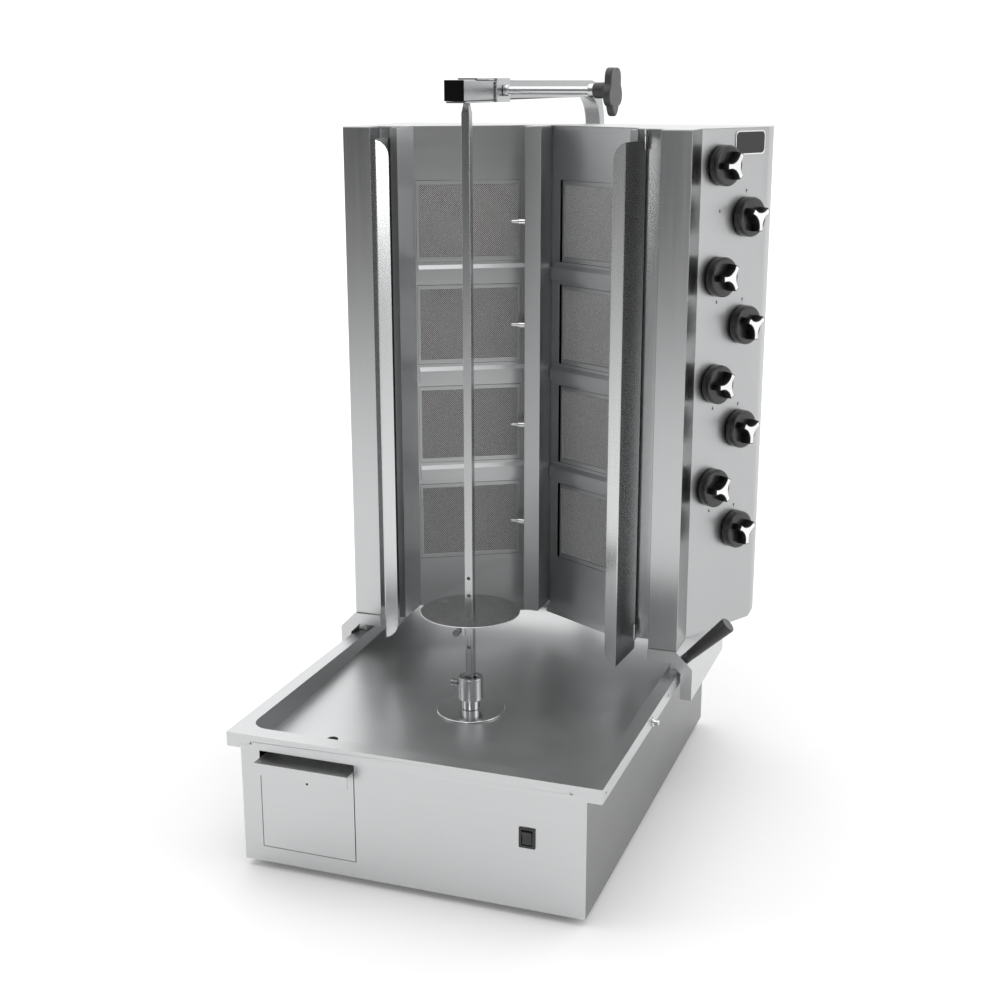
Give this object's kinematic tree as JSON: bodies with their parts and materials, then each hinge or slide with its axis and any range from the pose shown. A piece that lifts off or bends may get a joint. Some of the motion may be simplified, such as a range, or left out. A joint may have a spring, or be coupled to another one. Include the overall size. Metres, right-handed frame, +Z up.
{
  "type": "vertical rotisserie grill",
  "caption": "Vertical rotisserie grill: a sliding tower of radiant gas burners faces a motor-driven spit over a grease tray with a drawer.",
  "frame": {"origin": "centre of the floor area the grill covers, at the underside of the feet", "axes": "+Z up, the front of the grill faces -Y, +X to the right seen from the front"},
  "size_m": [0.7118, 0.9788, 1.2044],
  "materials": {
    "steel": "satin brushed stainless sheet",
    "bright": "bright turned or plated steel",
    "castIron": "painted cast housing",
    "ceramic": "radiant plate behind wire mesh",
    "black": "moulded heat-resistant plastic",
    "rubber": "rubber",
    "brass": "turned brass"
  },
  "bodies": {
    "base": {"base_shell": "steel", "foot_front_left": "rubber", "foot_front_right": "rubber", "foot_rear_left": "rubber", "foot_rear_right": "rubber", "drip_tray": "steel", "stop_stud": "bright", "switch_bezel": "black", "gear_motor": "castIron", "splash_disc": "bright", "arm_tube": "steel", "arm_end_cap": "black", "arm_socket": "steel"},
    "tower": {"carriage_left": "steel", "carriage_right": "steel", "post_right": "steel", "post_left": "steel", "rear_cover": "steel", "control_panel": "steel", "top_cover": "steel", "tower_floor": "steel", "burner_wall_right": "steel", "burner_wall_left": "steel", "centre_column": "steel", "gas_inlet": "brass", "burner_left_1": "ceramic", "burner_left_2": "ceramic", "burner_left_3": "ceramic", "burner_left_4": "ceramic", "burner_right_1": "ceramic", "burner_right_2": "ceramic", "burner_right_3": "ceramic", "burner_right_4": "ceramic", "flame_probe_1": "bright", "flame_probe_2": "bright", "flame_probe_3": "bright", "flame_probe_4": "bright"},
    "drawer": {"grease_drawer": "steel"},
    "rocker": {"switch_rocker": "black"},
    "spit": {"drive_shaft": "steel", "spit_coupling": "bright", "spit_bar": "steel"},
    "coupling_screw": {"coupling_screw": "bright"},
    "plate": {"meat_plate": "steel", "plate_collar": "bright"},
    "wing_screw": {"wing_screw": "bright"},
    "carrier": {"spit_carrier": "steel"},
    "star_clamp": {"clamp_rod": "bright", "star_knob": "black"},
    "clamp_grip": {"clamp_grip": "black"},
    "door_left": {"door_left": "steel"},
    "door_right": {"door_right": "steel"},
    "knob_1": {"knob_1": "black"},
    "knob_2": {"knob_2": "black"},
    "knob_3": {"knob_3": "black"},
    "knob_4": {"knob_4": "black"},
    "knob_5": {"knob_5": "black"},
    "knob_6": {"knob_6": "black"},
    "knob_7": {"knob_7": "black"},
    "knob_8": {"knob_8": "black"}
  },
  "joints": [
    {"name": "tower_slide", "type": "slide", "parent": "base", "child": "tower", "axis": [0, 1, 0], "range_m": [-0.16, 0.058]},
    {"name": "door_right_hinge", "type": "hinge", "parent": "tower", "child": "door_right", "pos_m": [0.18237, 0.0216, 0.673], "axis": [0, 0, 1], "range_deg": [0, 40]},
    {"name": "door_left_hinge", "type": "hinge", "parent": "tower", "child": "door_left", "pos_m": [-0.24643, 0.0216, 0.673], "axis": [0, 0, 1], "range_deg": [-40, 0]},
    {"name": "drawer_slide", "type": "slide", "parent": "base", "child": "drawer", "axis": [0, -1, 0], "range_m": [0, 0.19]},
    {"name": "rocker_pivot", "type": "hinge", "parent": "base", "child": "rocker", "pos_m": [0.15557, -0.4679, 0.12845], "axis": [1, 0, 0], "range_deg": [-20, 0]},
    {"name": "spit_turn", "type": "hinge", "parent": "base", "child": "spit", "pos_m": [-0.03203, -0.2014, 0.323], "axis": [0, 0, 1], "continuous": true},
    {"name": "plate_slide", "type": "slide", "parent": "spit", "child": "plate", "axis": [0, 0, 1], "range_m": [-0.06, 0.6]},
    {"name": "wing_screw_turn", "type": "hinge", "parent": "plate", "child": "wing_screw", "pos_m": [-0.03203, -0.2014, 0.331], "axis": [-1, 0, 0], "range_deg": [-360, 0]},
    {"name": "coupling_screw_turn", "type": "hinge", "parent": "spit", "child": "coupling_screw", "pos_m": [-0.03203, -0.2014, 0.238], "axis": [-1, 0, 0], "range_deg": [-360, 0]},
    {"name": "carrier_slide", "type": "slide", "parent": "base", "child": "carrier", "axis": [0, 1, 0], "range_m": [-0.004, 0.3]},
    {"name": "star_clamp_turn", "type": "hinge", "parent": "carrier", "child": "star_clamp", "pos_m": [-0.03203, -0.0894, 1.1719], "axis": [1, 0, 0], "range_deg": [-360, 0]},
    {"name": "clamp_grip_turn", "type": "hinge", "parent": "tower", "child": "clamp_grip", "pos_m": [0.27772, 0.0056, 0.24705], "axis": [0.7071, 0, 0.7071], "range_deg": [-180, 0]},
    {"name": "knob_1_turn", "type": "hinge", "parent": "tower", "child": "knob_1", "pos_m": [0.28668, 0.10603, 1.055], "axis": [0.877, -0.4805, 0], "range_deg": [-180, 0]},
    {"name": "knob_2_turn", "type": "hinge", "parent": "tower", "child": "knob_2", "pos_m": [0.31791, 0.16304, 0.9705], "axis": [0.877, -0.4805, 0], "range_deg": [-180, 0]},
    {"name": "knob_3_turn", "type": "hinge", "parent": "tower", "child": "knob_3", "pos_m": [0.28668, 0.10603, 0.8773], "axis": [0.877, -0.4805, 0], "range_deg": [-180, 0]},
    {"name": "knob_4_turn", "type": "hinge", "parent": "tower", "child": "knob_4", "pos_m": [0.31791, 0.16304, 0.7926], "axis": [0.877, -0.4805, 0], "range_deg": [-180, 0]},
    {"name": "knob_5_turn", "type": "hinge", "parent": "tower", "child": "knob_5", "pos_m": [0.28668, 0.10603, 0.6996], "axis": [0.877, -0.4805, 0], "range_deg": [-180, 0]},
    {"name": "knob_6_turn", "type": "hinge", "parent": "tower", "child": "knob_6", "pos_m": [0.31791, 0.16304, 0.6147], "axis": [0.877, -0.4805, 0], "range_deg": [-180, 0]},
    {"name": "knob_7_turn", "type": "hinge", "parent": "tower", "child": "knob_7", "pos_m": [0.28668, 0.10603, 0.5219], "axis": [0.877, -0.4805, 0], "range_deg": [-180, 0]},
    {"name": "knob_8_turn", "type": "hinge", "parent": "tower", "child": "knob_8", "pos_m": [0.31791, 0.16304, 0.4368], "axis": [0.877, -0.4805, 0], "range_deg": [-180, 0]}
  ]
}
